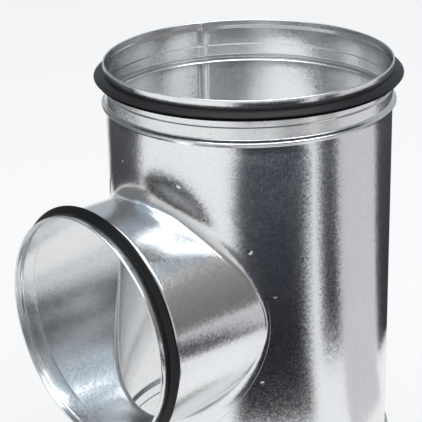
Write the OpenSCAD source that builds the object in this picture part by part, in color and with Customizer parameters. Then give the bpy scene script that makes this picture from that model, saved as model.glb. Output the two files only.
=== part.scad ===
// Duct tee of galvanised sheet steel with a pressed saddle and rubber lip seals.
// The origin is the centre of the lower mouth, +Z runs up the run tube and the branch points along -Y.

/* [Run tube] */
// Outer diameter of the run tube
run_d = 248; // [225:1:280]
// Length of the run from mouth to mouth
run_length = 394; // [370:1:480]
// Angle of the lapped seam round the run, from +X towards +Y
seam_angle = 157; // [100:1:200]
// Width of the lapped seam
seam_width = 8; // [4:0.5:14]
// How far the lapped seam stands into the run
seam_stand = 0.4; // [0.2:0.1:0.7]

/* [Branch] */
// Outer diameter of the branch tube
branch_d = 197; // [160:1:206]
// Distance from the axis of the run to the branch mouth
branch_reach = 190; // [182:1:260]

/* [Sheet] */
// Thickness of the sheet
sheet = 0.7; // [0.5:0.1:1]

/* [Spigots] */
// Height of the folded hem at each mouth
hem_height = 8; // [5:0.5:9]
// How far the hem stands out from the tube
hem_stand = 1; // [0.6:0.1:1.5]
// Radius of the rounded corners of the hem at the mouth
hem_round = 0.5; // [0.2:0.1:0.5]
// How far the seat of the seal lies below the surface of the tube
seat_drop = 0.8; // [0.4:0.1:1.2]
// Distance from a run mouth to the step at the end of the seat
run_seat_length = 23; // [20:0.5:26]
// Distance from the branch mouth to the step at the end of the seat
branch_seat_length = 19.5; // [18:0.5:26]
// Length of the ramp at that step
step_ramp = 1.6; // [0.8:0.1:2.4]
// Distance from a run mouth to the middle of the stop bead
bead_place = 36; // [33:0.5:45]
// Width of the stop bead
bead_width = 7.5; // [5:0.5:10]
// Height of the stop bead
bead_height = 3.4; // [2:0.1:5]

/* [Saddle] */
// How far the flare spreads the hole above and below the branch
flare_spread_top = 25; // [15:1:32]
// How far the flare spreads the hole at the sides of the branch
flare_spread_side = 2; // [1.5:0.1:2.4]
// Rise of the flare above the run tube, above and below the branch
flare_rise_top = 14; // [10:1:24]
// Rise of the flare at the sides of the branch
flare_rise_side = 3; // [2:0.5:8]
// How late the flare bends up to the branch, from 2 for an even curve
flare_turn = 3; // [2:0.1:4]
// Gap between the flare and the edge of the hole
hole_gap = 0.4; // [0.3:0.1:0.8]
// Width of the flange that lies inside the run tube
flange_width = 15; // [10:0.5:18]

/* [Welds] */
// Diameter of a weld dimple
weld_d = 4.6; // [3:0.1:6]
// Depth of a weld dimple
weld_depth = 0.35; // [0.2:0.05:0.45]
// Distance from the edge of the hole to the middle of the dimples
weld_inset = 8; // [5:0.5:9]

/* [Seals] */
// Thickness of the foot of a seal
seal_foot = 1; // [0.8:0.1:1.2]
// Height of the foot of a seal
seal_height = 9; // [8:0.5:10.5]
// How far the first lip reaches out from a run tube
run_lip_reach = 9; // [7:0.5:11]
// How far the first lip reaches out from the branch tube
branch_lip_reach = 7; // [5.5:0.5:9]
// How much shorter the second lip is
second_lip_short = 2.6; // [1.5:0.1:3.5]
// How far each lip leans away from the mouth
lip_lean = 2.6; // [2:0.1:4]
// Thickness of a lip at its root
lip_root = 2.2; // [1.6:0.1:2.6]
// Thickness of a lip at its rounded edge
lip_edge = 1.1; // [0.8:0.1:1.4]

/* [Hidden] */
steel = [0.72, 0.74, 0.76];
rubber = [0.09, 0.09, 0.10];
round_fn = 144;
run_r = run_d / 2;
branch_r = branch_d / 2;
// Two layers of sheet, folded flat
hem_thick = 2 * sheet + 0.2;
bead_steps = 12;
corner_steps = 4;
lip_steps = 6;
// Height of the branch axis, halfway up the run
branch_z = run_length / 2;
// The flange lies against the inside of the run tube
bed_r = run_r - sheet;
// Half width and half height of the hole, seen along the branch
hole_a = branch_r + flare_spread_side;
hole_b = branch_r + flare_spread_top;
// How much a length on the run's side shrinks when it is seen along the branch
side_slope = sqrt(1 - pow(hole_a / run_r, 2));
// Sides of the hole and of the pressed saddle
saddle_sides = 96;
flare_steps = 8;
// The round branch tube takes over from the flare here, with the flare's end inside its wall
neck_y = bed_r + flare_rise_top + 1;
neck_overlap = 2;
neck_skin = sheet / 7;
// Places of the weld dimples round the hole, from its +X side towards the top
weld_angles = [12, 31, 67, 104, 140, 182, 223, 264, 300, 336];

// Points of an arc from angle a0 to angle a1
function arc(centre, r, a0, a1, steps) =
    [for (i = [0:steps]) centre + r * [cos(a0 + (a1 - a0) * i / steps), sin(a0 + (a1 - a0) * i / steps)]];

function mirrored(points, length) = [for (i = [len(points) - 1:-1:0]) [points[i][0], length - points[i][1]]];

function bead(r, stand) =
    [for (i = [0:bead_steps])
        [r + stand * (1 - cos(360 * i / bead_steps)) / 2, bead_place + bead_width * (i / bead_steps - 0.5)]];

function step(r, seat_length) = [[r - seat_drop, seat_length - step_ramp / 2], [r, seat_length + step_ramp / 2]];

// Outline of a spigot's outer face as radius and distance from the mouth
function spigot_outside(r, seat_length) = concat(
    arc([r + hem_stand - hem_round, hem_round], hem_round, -90, 0, corner_steps),
    [[r + hem_stand, hem_height], [r - seat_drop, hem_height]],
    step(r, seat_length));

// Outline of a spigot's inner face in the same terms
function spigot_inside(r, seat_length) = concat(
    arc([r + hem_stand - hem_thick + hem_round, hem_round], hem_round, -90, -180, corner_steps),
    [[r + hem_stand - hem_thick, hem_height / 2], [r - seat_drop - sheet, hem_height]],
    step(r - sheet, seat_length));

run_outside = concat(spigot_outside(run_r, run_seat_length), bead(run_r, bead_height));
run_inside = concat(spigot_inside(run_r, run_seat_length), bead(run_r - sheet, bead_height));

module tube(outside, inside) {
    rotate_extrude($fn = round_fn)
        polygon(concat(outside, [for (i = [len(inside) - 1:-1:0]) inside[i]]));
}

// The strip where the rolled sheet laps over itself, from hem to hem
module lapped_seam() {
    turn = seam_width / run_r * 180 / PI;
    bite = sheet / 2;
    half = concat(
        [[run_r - seat_drop - sheet, hem_height]],
        step(run_r - sheet, run_seat_length),
        bead(run_r - sheet, bead_height));
    face = concat(half, mirrored(half, run_length));
    rotate([0, 0, seam_angle - turn / 2])
        rotate_extrude(angle = turn, $fn = round_fn)
            polygon(concat(
                [for (p = face) p + [bite, 0]],
                [for (i = [len(face) - 1:-1:0]) face[i] - [seam_stand, 0]]));
}

// An oval in the plane across the branch
function oval(a, b, t) = [a * cos(t), b * sin(t)];

module saddle_hole() {
    translate([0, 0, branch_z]) rotate([90, 0, 0])
        linear_extrude(run_r + bead_height)
            polygon([for (i = [0:saddle_sides - 1]) oval(hole_a, hole_b, 360 * i / saddle_sides)]);
}

module weld_dimples() {
    ball_r = (weld_d * weld_d / 4 + weld_depth * weld_depth) / (2 * weld_depth);
    for (t = weld_angles) {
        p = oval(hole_a + weld_inset * side_slope, hole_b + weld_inset, t);
        turn = asin(p[0] / run_r);
        translate([0, 0, branch_z + p[1]]) rotate([0, 0, turn])
            translate([0, -run_r - ball_r + weld_depth, 0]) sphere(ball_r, $fn = 32);
    }
}

module run_tube() {
    color(steel) difference() {
        union() {
            tube(concat(run_outside, mirrored(run_outside, run_length)),
                 concat(run_inside, mirrored(run_inside, run_length)));
            lapped_seam();
        }
        saddle_hole();
        weld_dimples();
    }
}

// Distance of the run's bed from the run axis, at x across the branch
function bed_y(x) = sqrt(max(bed_r * bed_r - x * x, 0));

function flare_rise(t) = flare_rise_side + (flare_rise_top - flare_rise_side) * pow(sin(t), 2);

// A point on the pressed saddle's outer face: x and z across the branch, and y along it.
// The step s runs from -1 at the flange's edge over 0 at the hole and 1 at the flare's top to 2 at the neck.
function saddle_across(t, s) =
    let (edge = oval(hole_a - hole_gap, hole_b - hole_gap, t),
         rim = oval(hole_a + flange_width * side_slope, hole_b + flange_width, t),
         neck = oval(branch_r - neck_skin, branch_r - neck_skin, t))
    s < 0 ? edge - (rim - edge) * s : edge + (neck - edge) * pow(sin(90 * min(s, 1)), 2 / flare_turn);

function saddle_along(t, s) =
    let (flat = pow(cos(90 * min(max(s, 0), 1)), 2 / flare_turn),
         flare_y = bed_y(saddle_across(t, s)[0]) + flare_rise(t) * (1 - flat))
    s <= 1 ? flare_y : flare_y + (neck_y + neck_overlap - flare_y) * (s - 1);

function saddle_face(t, s) =
    let (p = saddle_across(t, s)) [p[0], -saddle_along(t, s), branch_z + p[1]];

function unit(v) = v / norm(v);

// Outward direction of the sheet there, from its neighbours on the face
function saddle_normal(t, s) =
    let (d = 0.02,
         low = s > 1 ? 1 : s - d,
         high = s > 1 ? 2 : s + d)
    unit(cross(saddle_face(t + 0.5, s) - saddle_face(t - 0.5, s), saddle_face(t, high) - saddle_face(t, low)));

function saddle_sheet(s) = s < 1 ? sheet : sheet - 2 * neck_skin;

saddle_steps = concat([-1, -0.5], [for (i = [0:flare_steps]) i / flare_steps], [2]);

// The saddle as pressed: flange, flare and the start of the branch tube
module pressed_saddle() {
    rows = len(saddle_steps);
    outer = [for (s = saddle_steps) for (i = [0:saddle_sides - 1]) saddle_face(360 * i / saddle_sides, s)];
    inner = [for (s = saddle_steps) for (i = [0:saddle_sides - 1])
        let (t = 360 * i / saddle_sides) saddle_face(t, s) - saddle_sheet(s) * saddle_normal(t, s)];
    skin = rows * saddle_sides;
    function at(row, i) = row * saddle_sides + i % saddle_sides;
    outer_faces = [for (row = [0:rows - 2]) for (i = [0:saddle_sides - 1]) each [
        [at(row, i), at(row + 1, i), at(row + 1, i + 1)],
        [at(row, i), at(row + 1, i + 1), at(row, i + 1)]]];
    inner_faces = [for (f = outer_faces) [f[0] + skin, f[2] + skin, f[1] + skin]];
    edge_faces = [for (i = [0:saddle_sides - 1]) each [
        [at(0, i), at(0, i + 1), at(0, i + 1) + skin],
        [at(0, i), at(0, i + 1) + skin, at(0, i) + skin],
        [at(rows - 1, i + 1), at(rows - 1, i), at(rows - 1, i) + skin],
        [at(rows - 1, i + 1), at(rows - 1, i) + skin, at(rows - 1, i + 1) + skin]]];
    polyhedron(concat(outer, inner), concat(outer_faces, inner_faces, edge_faces), convexity = 6);
}

module branch_saddle() {
    neck = branch_reach - neck_y;
    color(steel) union() {
        pressed_saddle();
        translate([0, -branch_reach, branch_z]) rotate([-90, 0, 0])
            tube(concat(spigot_outside(branch_r, branch_seat_length), [[branch_r, neck]]),
                 concat(spigot_inside(branch_r, branch_seat_length), [[branch_r - sheet, neck]]));
    }
}

// One side of a lip, curving from its root at the foot to its edge
function lip_side(root, reach, thickness_root, thickness_edge, side) =
    [for (i = [0:lip_steps]) let (q = i / lip_steps)
        root + [reach * q, lip_lean * q * q
            + side * (thickness_root + (thickness_edge - thickness_root) * q) / 2]];

function lip(root, reach) = concat(
    lip_side(root, reach - lip_edge / 2, lip_root, lip_edge, -1),
    arc(root + [reach - lip_edge / 2, lip_lean], lip_edge / 2, -60, 60, corner_steps),
    [for (i = [lip_steps:-1:0]) lip_side(root, reach - lip_edge / 2, lip_root, lip_edge, 1)[i]]);

// A seal stands on its seat, against the hem, with the first lip nearest the mouth
module seal(r, lip_reach) {
    seat_r = r - seat_drop;
    foot_r = seat_r + seal_foot;
    first = [foot_r, hem_height + lip_root / 2 + 0.2];
    second = first + [0, lip_root + 0.9];
    reach = r + lip_reach - foot_r;
    rotate_extrude($fn = round_fn)
        polygon(concat(
            [[seat_r, hem_height], [foot_r, hem_height]],
            lip(first, reach),
            lip(second, reach - second_lip_short),
            [[foot_r, hem_height + seal_height], [seat_r, hem_height + seal_height]]));
}

module bottom_seal() {
    color(rubber) seal(run_r, run_lip_reach);
}

module top_seal() {
    color(rubber) translate([0, 0, run_length]) mirror([0, 0, 1]) seal(run_r, run_lip_reach);
}

module branch_seal() {
    color(rubber) translate([0, -branch_reach, branch_z]) rotate([-90, 0, 0]) seal(branch_r, branch_lip_reach);
}

run_tube();
branch_saddle();
top_seal();
bottom_seal();
branch_seal();
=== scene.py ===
"""Dresses the duct tee's frame: galvanised sheet steel, rubber lip seals, a pale floor and soft studio light."""

import math

import bmesh
import bpy
import numpy as np
from bpy.props import FloatProperty, FloatVectorProperty, IntProperty, PointerProperty
from mathutils import Matrix, Vector


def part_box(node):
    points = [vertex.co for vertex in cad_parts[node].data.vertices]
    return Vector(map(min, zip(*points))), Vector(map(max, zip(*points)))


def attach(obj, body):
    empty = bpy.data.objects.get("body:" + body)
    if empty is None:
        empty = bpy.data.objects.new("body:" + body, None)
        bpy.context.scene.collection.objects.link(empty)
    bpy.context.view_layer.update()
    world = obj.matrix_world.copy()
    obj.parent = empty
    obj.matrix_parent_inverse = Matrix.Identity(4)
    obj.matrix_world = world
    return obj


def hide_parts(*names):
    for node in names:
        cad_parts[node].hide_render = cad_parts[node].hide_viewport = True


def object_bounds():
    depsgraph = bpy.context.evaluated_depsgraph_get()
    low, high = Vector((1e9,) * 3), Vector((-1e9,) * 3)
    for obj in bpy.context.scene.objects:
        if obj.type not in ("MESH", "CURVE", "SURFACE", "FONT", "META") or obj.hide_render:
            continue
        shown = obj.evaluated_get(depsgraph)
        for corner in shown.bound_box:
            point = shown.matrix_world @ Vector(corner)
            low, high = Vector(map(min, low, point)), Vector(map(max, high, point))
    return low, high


bl_info = {
    "name": "Duct tee",
    "version": (1, 0, 0),
    "blender": (4, 5, 0),
    "location": "3D View > Sidebar > Duct tee",
    "description": "Builds a galvanised duct tee with lip seals, its floor, its light and its camera",
    "category": "Add Mesh",
}

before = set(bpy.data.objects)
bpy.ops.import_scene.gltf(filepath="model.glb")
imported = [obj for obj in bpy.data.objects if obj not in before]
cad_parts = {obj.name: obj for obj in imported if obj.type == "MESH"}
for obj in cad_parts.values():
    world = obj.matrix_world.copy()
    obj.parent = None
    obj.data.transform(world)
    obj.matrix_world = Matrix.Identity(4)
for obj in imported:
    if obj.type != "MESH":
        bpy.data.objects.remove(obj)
CAD_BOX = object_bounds()
RUN_LOW, RUN_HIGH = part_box("run_tube")
SADDLE_LOW, SADDLE_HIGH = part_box("branch_saddle")
SEAL_LOW, SEAL_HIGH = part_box("top_seal")
BRANCH_SEAL_LOW, BRANCH_SEAL_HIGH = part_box("branch_seal")

MM = 0.001
BEAD_HEIGHT = 3.4 * MM
HEM_STAND = 1.0 * MM
IMAGE_SIDE = 422
SENSOR = 36.0

# Places of the weld dimples round the hole, in degrees from its +X side towards the top
WELD_ANGLES = [12, 31, 67, 104, 140, 182, 223, 264, 300, 336]


# Properties

def length(name, description, default):
    return FloatProperty(name=name, description=description, default=default, unit="LENGTH", precision=5)


def number(name, description, default):
    return FloatProperty(name=name, description=description, default=default, precision=3)


def angle(name, description, degrees):
    return FloatProperty(name=name, description=description, default=math.radians(degrees), unit="ROTATION")


def colour(name, description, default):
    return FloatVectorProperty(name=name, description=description, default=default, subtype="COLOR", size=3)


class DuctTeeSizes(bpy.types.PropertyGroup):
    """Sizes of the tee's sheet pieces and seals"""
    run_r: length("Run radius", "Outer radius of the run tube", (RUN_HIGH.x - RUN_LOW.x) / 2 - BEAD_HEIGHT)
    run_length: length("Run length", "Length of the run from mouth to mouth", RUN_HIGH.z - RUN_LOW.z)
    branch_r: length("Branch radius", "Outer radius of the branch tube", 98.5 * MM)
    branch_reach: length("Branch reach", "Distance from the run's axis to the branch mouth", -SADDLE_LOW.y)
    sheet: length("Sheet", "Thickness of the sheet", 0.7 * MM)
    hem_height: length("Hem height", "Height of the folded hem at each mouth", 8 * MM)
    hem_stand: length("Hem stand", "How far the hem stands out from the tube", HEM_STAND)
    hem_thick: length("Hem thickness", "Two layers of sheet, folded flat", 1.6 * MM)
    seat_drop: length("Seat drop", "How far the seat of a seal lies below the tube's surface", 0.8 * MM)
    run_seat: length("Run seat", "Distance from a run mouth to the step", 23 * MM)
    branch_seat: length("Branch seat", "Distance from the branch mouth to the step", 19.5 * MM)
    step_ramp: length("Step ramp", "Length of the ramp at the step", 1.6 * MM)
    bead_place: length("Bead place", "Distance from a run mouth to the middle of the stop bead", 36 * MM)
    bead_width: length("Bead width", "Width of the stop bead", 7.5 * MM)
    bead_height: length("Bead height", "Height of the stop bead", BEAD_HEIGHT)
    spread_top: length("Flare spread above", "How far the hole reaches above and below the branch", 25 * MM)
    spread_side: length("Flare spread at the sides", "How far the hole reaches beside the branch", 2 * MM)
    rise_top: length("Flare rise above", "Rise of the flare above and below the branch", 14 * MM)
    rise_side: length("Flare rise at the sides", "Rise of the flare beside the branch", 3 * MM)
    flare_turn: number("Flare turn", "How late the flare bends up to the branch, from 2 for an even curve", 3.0)
    hole_gap: length("Hole gap", "Gap between the flare and the hole's edge", 0.4 * MM)
    flange: length("Flange width", "Width of the flange inside the run tube", 15 * MM)
    weld_d: length("Weld diameter", "Diameter of a weld dimple", 4.6 * MM)
    weld_depth: length("Weld depth", "Depth of a weld dimple", 0.35 * MM)
    weld_inset: length("Weld inset", "Distance from the hole's edge to the dimples", 8 * MM)
    seam_angle: angle("Seam angle", "Place of the lapped seam, from +X towards +Y", 157)
    seam_width: length("Seam width", "Width of the lapped seam", 8 * MM)
    seam_stand: length("Seam stand", "How far the lapped seam stands into the run", 0.4 * MM)
    seal_foot: length("Seal foot", "Thickness of a seal's foot", 1.0 * MM)
    seal_height: length("Seal height", "Height of a seal's foot", 9 * MM)
    run_lip: length("Run lip", "Reach of a run seal's first lip", SEAL_HIGH.x - (RUN_HIGH.x - BEAD_HEIGHT))
    branch_lip: length("Branch lip", "Reach of the branch seal's first lip", BRANCH_SEAL_HIGH.x - 98.5 * MM)
    second_lip: length("Second lip", "How much shorter the second lip is", 2.6 * MM)
    lip_lean: length("Lip lean", "How far a lip leans away from the mouth", 2.6 * MM)
    lip_root: length("Lip root", "Thickness of a lip at its root", 2.2 * MM)
    lip_edge: length("Lip edge", "Thickness of a lip at its edge", 1.1 * MM)


class DuctTeeFinish(bpy.types.PropertyGroup):
    """Colours and grain of the zinc and the rubber"""
    zinc_light: colour("Light zinc", "Colour of the brighter crystals", (0.90, 0.905, 0.91))
    zinc_dark: colour("Dark zinc", "Colour of the darker crystals", (0.76, 0.775, 0.79))
    crystal: length("Crystal size", "Width of the zinc crystals", 1.2 * MM)
    crystal_tilt: number("Crystal tilt", "How far the crystals tilt from the sheet's surface", 0.035)
    zinc_roughness: number("Zinc roughness", "Mean roughness of the zinc", 0.20)
    rubber: colour("Rubber", "Colour of the seals", (0.004, 0.004, 0.0045))
    rubber_roughness: number("Rubber roughness", "Mean roughness of the rubber", 0.38)


class DuctTeeStudio(bpy.types.PropertyGroup):
    """Floor and camera"""
    floor_side: length("Floor side", "Side of the square floor", 14.0)
    floor: colour("Floor", "Colour of the floor", (0.86, 0.86, 0.86))
    camera_place: FloatVectorProperty(
        name="Camera place", description="Where the camera stands", default=(0.8890, -0.8315, 0.7440),
        subtype="XYZ", unit="LENGTH", size=3)
    camera_turn: angle("Camera turn", "Turn of the camera from +Y towards -X", 48.56)
    camera_tilt: angle("Camera tilt", "How far the camera looks down", 22.03)
    camera_roll: angle("Camera roll", "Roll of the camera about its view", -1.358)
    focal_pixels: number("Focal length", "Focal length in pixels of the square image", 1468.9)


# Meshes

class Sheetwork:
    """Collects grids of points and joins them into one closed mesh."""

    def __init__(self):
        self.points = []
        self.quads = []
        self.count = 0

    def grid(self, points, wrap=False, wrap_rows=False):
        rows, columns = points.shape[:2]
        index = self.count + np.arange(rows * columns).reshape(rows, columns)
        if wrap:
            index = np.concatenate([index, index[:, :1]], axis=1)
        if wrap_rows:
            index = np.concatenate([index, index[:1]], axis=0)
        quads = np.stack([index[:-1, :-1], index[:-1, 1:], index[1:, 1:], index[1:, :-1]], axis=-1)
        self.points.append(points.reshape(-1, 3))
        self.quads.append(quads.reshape(-1, 4))
        self.count += rows * columns

    def piece(self, name, slot, material, node, sharp=50):
        mesh = bpy.data.meshes.new(name)
        mesh.from_pydata(np.concatenate(self.points).tolist(), [], np.concatenate(self.quads).tolist())
        build = bmesh.new()
        build.from_mesh(mesh)
        bmesh.ops.remove_doubles(build, verts=build.verts, dist=0.005 * MM)
        bmesh.ops.recalc_face_normals(build, faces=build.faces)
        build.to_mesh(mesh)
        build.free()
        mesh.shade_smooth()
        mesh.set_sharp_from_angle(angle=math.radians(sharp))
        mesh.materials.append(material)
        piece = bpy.data.objects.new(name, mesh)
        bpy.context.collection.objects.link(piece)
        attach(piece, "root")
        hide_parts(node)
        return piece


def arc(centre, radius, start, end, steps):
    """Points of an arc, in degrees, as rows of across and along."""
    turn = np.radians(np.linspace(start, end, steps + 1))
    return np.stack([centre[0] + radius * np.cos(turn), centre[1] + radius * np.sin(turn)], axis=1)


def ramp(r, drop, place, width, steps=8):
    """A smooth step from r - drop up to r."""
    share = np.linspace(0, 1, steps + 1)
    rise = (1 - np.cos(np.pi * share)) / 2
    return np.stack([r - drop * (1 - rise), place + width * (share - 0.5)], axis=1)


def bead(r, sizes, steps=24):
    share = np.linspace(0, 1, steps + 1)
    stand = sizes.bead_height * (1 - np.cos(2 * np.pi * share)) / 2
    return np.stack([r + stand, sizes.bead_place + sizes.bead_width * (share - 0.5)], axis=1)


def spigot(r, seat, sizes, end, beaded):
    """Outline through a spigot's wall: in along its inner face, round the fold at the mouth and back outside.
    Rows are radius, distance from the mouth, and 1 outside or -1 inside."""
    inner_r = r - sizes.sheet
    low_r = r - sizes.seat_drop
    hem_r = r + sizes.hem_stand - sizes.hem_thick
    fold_r = sizes.hem_thick / 2
    bevel = 0.15 * MM
    press = ramp(low_r - sizes.sheet, low_r - sizes.sheet - hem_r, 0.76 * sizes.hem_height, 0.48 * sizes.hem_height)
    inside = [press, ramp(inner_r, sizes.seat_drop, seat, sizes.step_ramp)]
    outside = [
        [[r + sizes.hem_stand, sizes.hem_height - bevel],
         [r + sizes.hem_stand - bevel, sizes.hem_height],
         [low_r, sizes.hem_height]],
        ramp(r, sizes.seat_drop, seat, sizes.step_ramp)]
    if beaded:
        inside.append(bead(inner_r, sizes))
        outside.append(bead(r, sizes))
    inside = np.concatenate(inside + [[[inner_r, end]]])[::-1]
    outside = np.concatenate(outside + [[[r, end]]])
    fold = arc((hem_r + fold_r, fold_r), fold_r, 180, 360, 10)
    path = np.concatenate([inside, fold, outside])
    side = np.concatenate([np.full(len(inside), -1.0), np.linspace(-1, 1, len(fold)), np.full(len(outside), 1.0)])
    return np.column_stack([path, side])


def dent(points, outward, centres, radius, depth):
    """Presses a shallow round dimple into the points near each centre."""
    for centre in centres:
        distance = np.linalg.norm(points - centre, axis=-1)
        share = np.clip(1 - (distance / radius) ** 2, 0, 1)
        points = points - (depth * share ** 1.5)[..., None] * outward
    return points


def weld_places(sizes, r):
    """Centres of the weld dimples on a cylinder of radius r about the run's axis."""
    hole_a = sizes.branch_r + sizes.spread_side
    hole_b = sizes.branch_r + sizes.spread_top
    slope = math.sqrt(1 - (hole_a / sizes.run_r) ** 2)
    turn = np.radians(WELD_ANGLES)
    x = (hole_a + sizes.weld_inset * slope) * np.cos(turn)
    z = sizes.run_length / 2 + (hole_b + sizes.weld_inset) * np.sin(turn)
    return np.stack([x, -np.sqrt(r ** 2 - x ** 2), z], axis=1)


def on_run(r, turn, z):
    """Points on the run, with turn in radians from the branch's side towards +X."""
    r, turn, z = np.broadcast_arrays(r, turn, z)
    return np.stack([r * np.sin(turn), -r * np.cos(turn), z], axis=-1)


class RunTube:
    """The rolled sheet with its saddle hole, drawn as two spigots, a band round the back and a patch round the hole."""
    window_turn = math.radians(70)
    window_height = 150 * MM
    rays = 1120

    def __init__(self, sizes):
        self.sizes = sizes
        self.middle = sizes.run_length / 2
        around = np.radians(np.arange(self.rays) * 360 / self.rays)
        widest = np.maximum(np.abs(np.cos(around)), np.abs(np.sin(around)))
        self.around = around
        self.window = np.stack([np.cos(around) / widest, np.sin(around) / widest], axis=1)
        eighth = self.rays // 8
        self.window_columns = self.window_turn * self.window[eighth:3 * eighth + 1, 0][::-1]
        self.band_rows = self.middle + self.window_height * self.window[-eighth:, 1]
        self.band_rows = np.concatenate([self.band_rows, self.middle + self.window_height * self.window[:eighth + 1, 1]])
        seam = sizes.seam_angle + math.pi / 2
        self.seam = seam
        across = np.array([-4.6, -4.2, -3.8, -3.4, -1.3, -0.9, -0.45, 0, 0.45, 0.9, 1.3, 3.4, 3.8, 4.2, 4.6]) * MM
        plain = np.radians(np.arange(72, 290, 2.0))
        plain = plain[np.abs(plain - seam) > 5.5 * MM / sizes.run_r]
        back = np.sort(np.concatenate([plain, seam + across / sizes.run_r]))
        self.back_columns = np.concatenate([[self.window_turn], back, [2 * math.pi - self.window_turn]])

    def seam_relief(self, turn, side):
        """How far the lapped seam and its weld stand out of the face: inwards inside, slightly outwards outside."""
        sizes = self.sizes
        away = np.abs((turn - self.seam + math.pi) % (2 * math.pi) - math.pi) * sizes.run_r
        edge = np.clip((sizes.seam_width / 2 + 0.4 * MM - away) / (0.8 * MM), 0, 1)
        weld = np.clip(1 - (away / (1.2 * MM)) ** 2, 0, 1)
        inside = sizes.seam_stand * (edge + 0.8 * weld)
        outside = 0.12 * MM * edge + 0.15 * MM * weld
        return np.where(side > 0, outside * side, inside * side)

    def face(self, r, turn, z, side):
        return on_run(r + self.seam_relief(turn, side), turn, z)

    def spigots(self, sheetwork):
        sizes = self.sizes
        end = self.middle - self.window_height
        path = spigot(sizes.run_r, sizes.run_seat, sizes, end, beaded=True)
        columns = np.concatenate([self.window_columns, self.back_columns[1:-1]])
        r, along, side = path[:, :1], path[:, 1:2], path[:, 2:]
        turn = columns[None, :]
        bottom = self.face(r, turn, along, side)
        top = self.face(r, turn, sizes.run_length - along, side)
        sheetwork.grid(bottom, wrap=True)
        sheetwork.grid(top, wrap=True)

    def band(self, sheetwork):
        sizes = self.sizes
        for r, side in ((sizes.run_r, 1.0), (sizes.run_r - sizes.sheet, -1.0)):
            sheetwork.grid(self.face(r, self.back_columns[None, :], self.band_rows[:, None], side))

    def hole_edge(self, r):
        """Turn and height of the hole's edge on a cylinder of radius r."""
        sizes = self.sizes
        x = (sizes.branch_r + sizes.spread_side) * np.cos(self.around)
        z = (sizes.branch_r + sizes.spread_top) * np.sin(self.around)
        return np.stack([np.arcsin(x / r), z], axis=1)

    def patch(self, sheetwork):
        """Rings from the hole's edge out to the window's frame."""
        sizes = self.sizes
        near = np.concatenate([[0, 0.25, 1.5, 3.0, 4.2], np.arange(5.0, 11.1, 0.5), [12.0, 14.0]]) * MM
        edges = []
        for r, side in ((sizes.run_r, 1.0), (sizes.run_r - sizes.sheet, -1.0)):
            scale = np.array([sizes.run_r, 1.0])
            start = self.hole_edge(r) * scale
            end = self.window * np.array([self.window_turn, self.window_height]) * scale
            way = end - start
            reach = np.linalg.norm(way, axis=1, keepdims=True)
            way = way / reach
            rings = [start + way * d for d in near]
            rings += [start + way * (near[-1] + (reach - near[-1]) * share) for share in (0.2, 0.45, 0.72, 1.0)]
            rings = np.array(rings) / scale
            points = on_run(r, rings[..., 0], self.middle + rings[..., 1])
            if side > 0:
                outward = on_run(1.0, rings[..., 0], 0.0)
                points = dent(points, outward, weld_places(sizes, r), sizes.weld_d / 2, sizes.weld_depth)
            sheetwork.grid(points, wrap=True)
            edges.append(points[0])
        sheetwork.grid(np.array(edges), wrap=True)

    def build(self, material):
        sheetwork = Sheetwork()
        self.spigots(sheetwork)
        self.band(sheetwork)
        self.patch(sheetwork)
        return sheetwork.piece("run_tube_sheet", "galvanised_steel", material, "run_tube")


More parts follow.
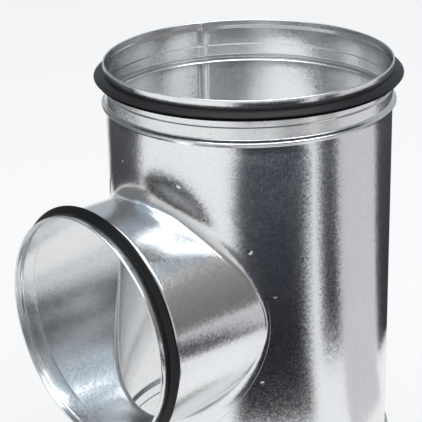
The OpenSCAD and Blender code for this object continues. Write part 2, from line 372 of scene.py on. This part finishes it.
class BranchSaddle:
    """The pressed saddle: a flange inside the run, a flare through the hole and the branch tube with its spigot."""
    sides = 360

    def __init__(self, sizes):
        self.sizes = sizes
        self.around = np.radians(np.arange(self.sides) * 360 / self.sides)
        self.bed_r = sizes.run_r - sizes.sheet
        self.hole_a = sizes.branch_r + sizes.spread_side
        self.hole_b = sizes.branch_r + sizes.spread_top
        self.slope = math.sqrt(1 - (self.hole_a / sizes.run_r) ** 2)
        self.end = sizes.branch_seat + 2.5 * MM

    def outer(self, s, around):
        """Outer face for s from -1, the flange's edge, over 0, the hole, and 1, the flare's top, to 2, the step."""
        sizes = self.sizes
        cos, sin = np.cos(around), np.sin(around)
        edge = np.stack([(self.hole_a - sizes.hole_gap) * cos, (self.hole_b - sizes.hole_gap) * sin], axis=-1)
        rim = np.stack([(self.hole_a + sizes.flange * self.slope) * cos, (self.hole_b + sizes.flange) * sin], axis=-1)
        neck = sizes.branch_r * np.stack([cos, sin], axis=-1)
        turn = np.pi / 2 * min(max(s, 0), 1)
        bend = 2 / sizes.flare_turn
        across = edge - (rim - edge) * s if s < 0 else edge + (neck - edge) * math.sin(turn) ** bend
        rise = sizes.rise_side + (sizes.rise_top - sizes.rise_side) * sin ** 2
        along = np.sqrt(self.bed_r ** 2 - across[..., 0] ** 2) + rise * (1 - max(math.cos(turn), 0) ** bend)
        if s > 1:
            along = along + (sizes.branch_reach - self.end - along) * (s - 1)
        return np.stack([across[..., 0], -along, sizes.run_length / 2 + across[..., 1]], axis=-1)

    def normal(self, s, around):
        step = 0.01
        low = s - step if s <= 1 else 1.0
        high = s + step if s <= 1 - step else 2.0
        across = self.outer(s, around + step) - self.outer(s, around - step)
        out = np.cross(across, self.outer(high, around) - self.outer(low, around))
        return out / np.linalg.norm(out, axis=-1, keepdims=True)

    def mouth(self, path):
        """The spigot's rows about the branch axis."""
        sizes = self.sizes
        r, along = path[:, :1], path[:, 1:2]
        x = r * np.cos(self.around)
        z = sizes.run_length / 2 + r * np.sin(self.around)
        y = np.broadcast_to(along - sizes.branch_reach, x.shape)
        return np.stack([x, y, z], axis=-1)

    def build(self, material):
        sizes = self.sizes
        steps = np.concatenate([np.linspace(-1, 0, 15), np.linspace(0, 1, 33)[1:], np.linspace(1, 2, 9)[1:-1]])
        outer = np.array([self.outer(s, self.around) for s in steps])
        normals = np.array([self.normal(s, self.around) for s in steps])
        inner = outer - sizes.sheet * normals
        inner = dent(inner, -normals, weld_places(sizes, self.bed_r - sizes.sheet), sizes.weld_d / 2, 0.2 * MM)
        path = spigot(sizes.branch_r, sizes.branch_seat, sizes, self.end, beaded=False)[::-1]
        sheetwork = Sheetwork()
        sheetwork.grid(np.concatenate([outer, self.mouth(path), inner[::-1]]), wrap=True, wrap_rows=True)
        return sheetwork.piece("branch_saddle_sheet", "galvanised_steel", material, "branch_saddle")


# Seals

def lip_side(root, reach, sizes, side, steps=10):
    share = np.linspace(0, 1, steps + 1)
    thick = sizes.lip_root + (sizes.lip_edge - sizes.lip_root) * share
    return np.stack([root[0] + reach * share, root[1] + sizes.lip_lean * share ** 2 + side * thick / 2], axis=1)


def lip(root, reach, sizes):
    reach = reach - sizes.lip_edge / 2
    tip = arc((root[0] + reach, root[1] + sizes.lip_lean), sizes.lip_edge / 2, -70, 70, 6)
    return np.concatenate([lip_side(root, reach, sizes, -1), tip, lip_side(root, reach, sizes, 1)[::-1]])


def seal_outline(r, lip_reach, sizes):
    """Closed outline of a seal as radius and distance from the mouth, with its first lip nearest the mouth."""
    seat_r = r - sizes.seat_drop
    foot_r = seat_r + sizes.seal_foot
    first = (foot_r, sizes.hem_height + sizes.lip_root / 2 + 0.2 * MM)
    second = (foot_r, first[1] + sizes.lip_root + 0.9 * MM)
    reach = r + lip_reach - foot_r
    top = sizes.hem_height + sizes.seal_height
    foot = arc((foot_r - 0.4 * MM, top - 0.4 * MM), 0.4 * MM, 0, 90, 4)
    return np.concatenate([
        [[seat_r, sizes.hem_height], [foot_r, sizes.hem_height]],
        lip(first, reach, sizes), lip(second, reach - sizes.second_lip, sizes), foot, [[seat_r, top]]])


def seal_ring(outline, name, node, place, material, sides=240):
    turn = np.radians(np.arange(sides) * 360 / sides)
    r, along = outline[:, :1], outline[:, 1:2]
    sheetwork = Sheetwork()
    sheetwork.grid(place(r, turn[None, :], along), wrap=True, wrap_rows=True)
    return sheetwork.piece(name, "seal_rubber", material, node, sharp=40)


# Materials

class Wire:
    """A node's output. Arithmetic on wires adds the Math nodes, so shader maths reads as plain expressions."""

    def __init__(self, graph, socket):
        self.graph = graph
        self.socket = socket

    def math(self, operation, first, second):
        return self.graph.node("ShaderNodeMath", {"operation": operation}, {0: first, 1: second})

    def __add__(self, other):
        return self.math("ADD", self, other)

    def __sub__(self, other):
        return self.math("SUBTRACT", self, other)

    def __rsub__(self, other):
        return self.math("SUBTRACT", other, self)

    def __mul__(self, other):
        return self.math("MULTIPLY", self, other)

    __radd__ = __add__
    __rmul__ = __mul__

    def clamped(self):
        return self.graph.node("ShaderNodeClamp", {}, {"Value": self})


class Graph:
    """The node tree of one material or world."""

    def __init__(self, owner):
        owner.use_nodes = True
        self.tree = owner.node_tree
        self.tree.nodes.clear()

    def node(self, kind, settings, values, output=None):
        """Adds a node, sets it up, then gives its sockets their values or links, and returns one output."""
        node = self.tree.nodes.new(kind)
        for name, value in settings.items():
            setattr(node, name, value)
        for name, value in values.items():
            socket = node.inputs[name] if isinstance(name, int) else self.open_socket(node.inputs, name)
            if isinstance(value, Wire):
                self.tree.links.new(value.socket, socket)
            else:
                socket.default_value = value
        if not node.outputs:
            return None
        found = self.open_socket(node.outputs, output) if output else next(s for s in node.outputs if s.enabled)
        return Wire(self, found)

    @staticmethod
    def open_socket(sockets, name):
        return next(s for s in sockets if s.enabled and s.name == name)

    def mix(self, share, first, second):
        settings = {"data_type": "RGBA"}
        return self.node("ShaderNodeMix", settings, {"Factor": share, "A": first, "B": second}, "Result")

    def vector(self, operation, first, second):
        return self.node("ShaderNodeVectorMath", {"operation": operation}, {0: first, 1: second})

    def scaled(self, first, factor):
        return self.node("ShaderNodeVectorMath", {"operation": "SCALE"}, {0: first, "Scale": factor})

    def noise(self, place, scale, detail=2.0, roughness=0.5):
        values = {"Vector": place, "Scale": scale, "Detail": detail, "Roughness": roughness}
        return self.node("ShaderNodeTexNoise", {}, values)


def rgba(value):
    return (*value, 1.0)


def zinc_material(finish):
    """Hot-dip galvanised sheet: small crystals that tilt and shade differently, over a faint cloudy tone and a fine
    bump.
    """
    material = bpy.data.materials.new("zinc_coat")
    graph = Graph(material)
    place = graph.node("ShaderNodeTexCoord", {}, {}, "Object")
    normal = graph.node("ShaderNodeNewGeometry", {}, {}, "Normal")

    waver = graph.node("ShaderNodeTexNoise", {}, {"Vector": place, "Scale": 500.0, "Detail": 1.0}, "Color")
    bent = graph.vector("ADD", place, graph.scaled(waver, 0.4 * finish.crystal))
    crystals = {"Vector": bent, "Scale": 1 / finish.crystal}
    crystal = graph.node("ShaderNodeTexVoronoi", {}, crystals, "Color")
    shade = graph.node("ShaderNodeSeparateColor", {}, {"Color": crystal}, "Red")

    tilt = graph.scaled(graph.vector("SUBTRACT", crystal, (0.5, 0.5, 0.5)), finish.crystal_tilt)
    tilted = graph.node("ShaderNodeVectorMath", {"operation": "NORMALIZE"}, {0: graph.vector("ADD", normal, tilt)})

    cloud = graph.noise(place, 14.0, 3.0)
    peel = graph.noise(place, 320.0, 2.0)
    tone = (shade * 0.6 + cloud * 0.8 - 0.2).clamped()
    shell = graph.mix(tone, rgba(finish.zinc_dark), rgba(finish.zinc_light))
    rough = finish.zinc_roughness + (shade - 0.5) * 0.06 + (cloud - 0.5) * 0.10
    bump = graph.node("ShaderNodeBump", {}, {"Strength": 0.08, "Distance": 0.1 * MM, "Height": peel, "Normal": tilted})
    steel = {"Base Color": shell, "Metallic": 1.0, "Roughness": rough, "Normal": bump}
    graph.node("ShaderNodeOutputMaterial", {}, {
        "Surface": graph.node("ShaderNodeBsdfPrincipled", {}, steel)})
    return material


def rubber_material(finish):
    """Black moulded rubber with a faint bloom and a fine grain."""
    material = bpy.data.materials.new("lip_rubber")
    graph = Graph(material)
    place = graph.node("ShaderNodeTexCoord", {}, {}, "Object")
    bloom = graph.noise(place, 60.0, 4.0)
    grain = graph.noise(place, 1500.0, 2.0)
    dusty = tuple(3.2 * part for part in finish.rubber)
    shell = graph.mix(bloom, rgba(finish.rubber), rgba(dusty))
    rough = finish.rubber_roughness + (bloom - 0.5) * 0.2
    bump = graph.node("ShaderNodeBump", {}, {"Strength": 0.25, "Distance": 0.05 * MM, "Height": grain})
    rubber = {"Base Color": shell, "Roughness": rough, "Normal": bump, "Specular IOR Level": 0.25}
    graph.node("ShaderNodeOutputMaterial", {}, {
        "Surface": graph.node("ShaderNodeBsdfPrincipled", {}, rubber)})
    return material


def seen_ray(graph):
    """1 for rays from the camera, from a mirror or through glass, and 0 for the light that falls on the object."""
    path = graph.node("ShaderNodeLightPath", {}, {}, "Is Camera Ray")
    node = path.socket.node
    glossy = Wire(graph, node.outputs["Is Glossy Ray"])
    through = Wire(graph, node.outputs["Is Transmission Ray"])
    return (path + glossy + through).clamped()


def floor_material(studio):
    """A pale floor that shows white and still takes the object's soft shadow."""
    material = bpy.data.materials.new("floor")
    graph = Graph(material)
    paint = graph.node("ShaderNodeBsdfDiffuse", {}, {"Color": rgba(studio.floor)})
    white = graph.node("ShaderNodeEmission", {}, {"Color": rgba((1, 1, 1)), "Strength": 1.0})
    share = seen_ray(graph) * 0.75
    graph.node("ShaderNodeOutputMaterial", {}, {
        "Surface": graph.node("ShaderNodeMixShader", {}, {0: share, 1: paint, 2: white})})
    return material


# Studio

# Boards that only the metal sees. Each runs between two arcs about the run's axis: its name, its start and end
# in degrees from the branch's side towards +X, radius and height of both arcs, the colours there, and the share
# of its width over which each end thins out
BOARDS = [
    ("front_cloth", 32, 93, (0.29, 0.001), (1.7, 0.001), (0.008, 0.007, 0.010), (0.08, 0.09, 0.12), 0.12),
    ("side_cloth", 98, 118, (0.42, 0.001), (1.7, 0.001), (0.008, 0.007, 0.010), (0.08, 0.09, 0.12), 0.15),
    ("right_board", 116, 158, (0.22, 0.001), (1.7, 0.001), (0.66, 0.64, 0.66), (0.64, 0.62, 0.68), 0.03),
    ("back_cloth", 158, 215, (0.32, 0.001), (1.7, 0.001), (0.03, 0.03, 0.035), (0.08, 0.08, 0.09), 0.06),
    ("left_cloth", 255, 318, (0.25, 0.001), (1.7, 0.001), (0.05, 0.05, 0.055), (0.08, 0.085, 0.09), 0.10),
    ("front_wall", -35, 75, (2.4, 0.0), (2.4, 2.4), (0.85, 0.85, 0.85), (0.22, 0.23, 0.25), 0.10),
    ("right_wall", 60, 165, (2.5, 0.0), (2.5, 2.4), (0.16, 0.15, 0.14), (0.36, 0.35, 0.34), 0.10),
    ("back_wall", 160, 260, (2.6, 0.0), (2.6, 2.4), (0.45, 0.47, 0.50), (0.40, 0.45, 0.50), 0.05),
    ("left_wall", 255, 335, (2.5, 0.0), (2.5, 2.4), (0.20, 0.20, 0.20), (0.16, 0.17, 0.18), 0.10),
    ("ceiling", 0, 360, (2.6, 2.5), (0.02, 2.5), (0.26, 0.31, 0.35), (0.55, 0.68, 0.80), 0.0001),
    ("left_panel", 250, 290, (2.1, 2.3), (1.7, 2.3), (0.80, 0.82, 0.85), (0.80, 0.82, 0.85), 0.15),
]


def board_material(name, near, far, soft):
    """Shines from its near colour to its far one, and thins out over a share of its width at both ends."""
    material = bpy.data.materials.new(name)
    graph = Graph(material)
    place = graph.node("ShaderNodeTexCoord", {}, {}, "UV")
    along = graph.node("ShaderNodeSeparateXYZ", {}, {0: place}, "X")
    across = graph.node("ShaderNodeSeparateXYZ", {}, {0: place}, "Y")
    glow = graph.node("ShaderNodeEmission", {}, {"Color": graph.mix(across, rgba(near), rgba(far)), "Strength": 1.0})
    clear = graph.node("ShaderNodeBsdfTransparent", {}, {})
    start = (along * (1 / soft)).clamped()
    end = ((1 - along) * (1 / soft)).clamped()
    graph.node("ShaderNodeOutputMaterial", {}, {
        "Surface": graph.node("ShaderNodeMixShader", {}, {0: start * end, 1: clear, 2: glow})})
    return material


def board(name, start, end, near, far, near_colour, far_colour, soft, steps=48):
    turn = np.radians(np.linspace(start, end, steps + 1))
    arcs = np.array([on_run(near[0], turn, near[1]), on_run(far[0], turn, far[1])])
    index = np.arange(2 * (steps + 1)).reshape(2, -1)
    quads = np.stack([index[0, :-1], index[0, 1:], index[1, 1:], index[1, :-1]], axis=1)
    mesh = bpy.data.meshes.new(name)
    mesh.from_pydata(arcs.reshape(-1, 3).tolist(), [], quads.tolist())
    share = np.linspace(0, 1, steps + 1)
    corner = np.array([(share[v % (steps + 1)], v // (steps + 1)) for v in quads.reshape(-1)])
    mesh.uv_layers.new(name="UVMap").data.foreach_set("uv", corner.astype(np.float32).reshape(-1))
    mesh.materials.append(board_material(name, near_colour, far_colour, soft))
    piece = bpy.data.objects.new(name, mesh)
    piece.visible_camera = False
    piece.visible_diffuse = False
    piece.visible_transmission = False
    piece.visible_volume_scatter = False
    piece.visible_shadow = False
    bpy.context.collection.objects.link(piece)
    return piece


def studio_world():
    world = bpy.data.worlds.new("studio")
    graph = Graph(world)
    soft = graph.node("ShaderNodeBackground", {}, {"Color": rgba((0.80, 0.90, 1.0)), "Strength": 0.55})
    white = graph.node("ShaderNodeBackground", {}, {"Color": rgba((1, 1, 1)), "Strength": 1.0})
    graph.node("ShaderNodeOutputWorld", {}, {
        "Surface": graph.node("ShaderNodeMixShader", {}, {0: seen_ray(graph), 1: soft, 2: white})})
    bpy.context.scene.world = world


def soft_lamp(name, place, aim, width, height, watts):
    lamp = bpy.data.lights.new(name, "AREA")
    lamp.shape = "RECTANGLE"
    lamp.size = width
    lamp.size_y = height
    lamp.energy = watts
    holder = bpy.data.objects.new(name, lamp)
    holder.location = place
    holder.rotation_euler = (Vector(aim) - Vector(place)).to_track_quat("-Z", "Y").to_euler()
    bpy.context.collection.objects.link(holder)
    return holder


def floor(studio):
    half = studio.floor_side / 2
    mesh = bpy.data.meshes.new("floor")
    mesh.from_pydata([(-half, -half, 0), (half, -half, 0), (half, half, 0), (-half, half, 0)], [], [(0, 1, 2, 3)])
    mesh.materials.append(floor_material(studio))
    sheet = bpy.data.objects.new("floor", mesh)
    sheet.location = (0, 0, CAD_BOX[0].z - 0.2 * MM)
    bpy.context.collection.objects.link(sheet)


def camera(studio):
    eye = bpy.data.cameras.new("camera")
    eye.sensor_width = SENSOR
    eye.lens = studio.focal_pixels * SENSOR / IMAGE_SIDE
    eye.clip_start = 0.01
    holder = bpy.data.objects.new("camera", eye)
    turn = Matrix.Rotation(studio.camera_turn, 4, "Z")
    tilt = Matrix.Rotation(math.pi / 2 - studio.camera_tilt, 4, "X")
    roll = Matrix.Rotation(studio.camera_roll, 4, "Z")
    holder.matrix_world = Matrix.Translation(studio.camera_place) @ turn @ tilt @ roll
    bpy.context.collection.objects.link(holder)
    bpy.context.scene.camera = holder
    bpy.context.scene.view_settings.view_transform = "Standard"


# Operators

def settings():
    scene = bpy.context.scene
    return scene.duct_tee_sizes, scene.duct_tee_finish, scene.duct_tee_studio


def made_once(name, make):
    """The material of that name, made on its first use."""
    return bpy.data.materials.get(name) or make(settings()[1])


class DUCTTEE_OT_run_tube(bpy.types.Operator):
    """Rolls the run tube with its hems, steps, stop beads, seam, hole and weld dimples"""
    bl_idname = "duct_tee.run_tube"
    bl_label = "Run tube"

    def execute(self, context):
        RunTube(settings()[0]).build(made_once("zinc_coat", zinc_material))
        return {"FINISHED"}


class DUCTTEE_OT_branch_saddle(bpy.types.Operator):
    """Presses the saddle with its flange, flare and branch spigot"""
    bl_idname = "duct_tee.branch_saddle"
    bl_label = "Branch saddle"

    def execute(self, context):
        BranchSaddle(settings()[0]).build(made_once("zinc_coat", zinc_material))
        return {"FINISHED"}


class DUCTTEE_OT_lip_seals(bpy.types.Operator):
    """Moulds the three rubber lip seals"""
    bl_idname = "duct_tee.lip_seals"
    bl_label = "Lip seals"

    def execute(self, context):
        sizes = settings()[0]
        rubber = made_once("lip_rubber", rubber_material)
        run = seal_outline(sizes.run_r, sizes.run_lip, sizes)
        branch = seal_outline(sizes.branch_r, sizes.branch_lip, sizes)

        def on_top(r, turn, along):
            return on_run(r, turn, sizes.run_length - along)

        def on_branch(r, turn, along):
            ring = on_run(r, turn, 0.0)
            y = np.broadcast_to(along - sizes.branch_reach, ring.shape[:-1])
            return np.stack([ring[..., 0], y, sizes.run_length / 2 + ring[..., 1]], axis=-1)

        seal_ring(run, "top_lip_seal", "top_seal", on_top, rubber)
        seal_ring(run, "bottom_lip_seal", "bottom_seal", on_run, rubber)
        seal_ring(branch, "branch_lip_seal", "branch_seal", on_branch, rubber)
        return {"FINISHED"}


class DUCTTEE_OT_studio(bpy.types.Operator):
    """Lays the floor and sets the light and the camera"""
    bl_idname = "duct_tee.studio"
    bl_label = "Studio"

    def execute(self, context):
        studio = settings()[2]
        floor(studio)
        studio_world()
        for values in BOARDS:
            board(*values)
        soft_lamp("overhead", (0.3, -0.2, 2.2), (0, 0, 0.2), 2.0, 2.0, 30)
        soft_lamp("side", (1.40, 0.55, 2.1), (0, 0, 0.3), 0.9, 1.2, 6)
        camera(studio)
        return {"FINISHED"}


class DUCTTEE_PT_panel(bpy.types.Panel):
    """Lists the steps that build the duct tee"""
    bl_label = "Duct tee"
    bl_idname = "DUCTTEE_PT_panel"
    bl_space_type = "VIEW_3D"
    bl_region_type = "UI"
    bl_category = "Duct tee"

    def draw(self, context):
        for operator in OPERATORS:
            self.layout.operator(operator.bl_idname)


GROUPS = {"duct_tee_sizes": DuctTeeSizes, "duct_tee_finish": DuctTeeFinish, "duct_tee_studio": DuctTeeStudio}
OPERATORS = [DUCTTEE_OT_run_tube, DUCTTEE_OT_branch_saddle, DUCTTEE_OT_lip_seals, DUCTTEE_OT_studio]


def register():
    for cls in [*GROUPS.values(), *OPERATORS, DUCTTEE_PT_panel]:
        bpy.utils.register_class(cls)
    for name, group in GROUPS.items():
        setattr(bpy.types.Scene, name, PointerProperty(type=group))


def unregister():
    for name in GROUPS:
        delattr(bpy.types.Scene, name)
    for cls in reversed([*GROUPS.values(), *OPERATORS, DUCTTEE_PT_panel]):
        bpy.utils.unregister_class(cls)


def main():
    register()
    for operator in OPERATORS:
        group, name = operator.bl_idname.split(".")
        getattr(getattr(bpy.ops, group), name)()


if __name__ == "__main__":
    main()
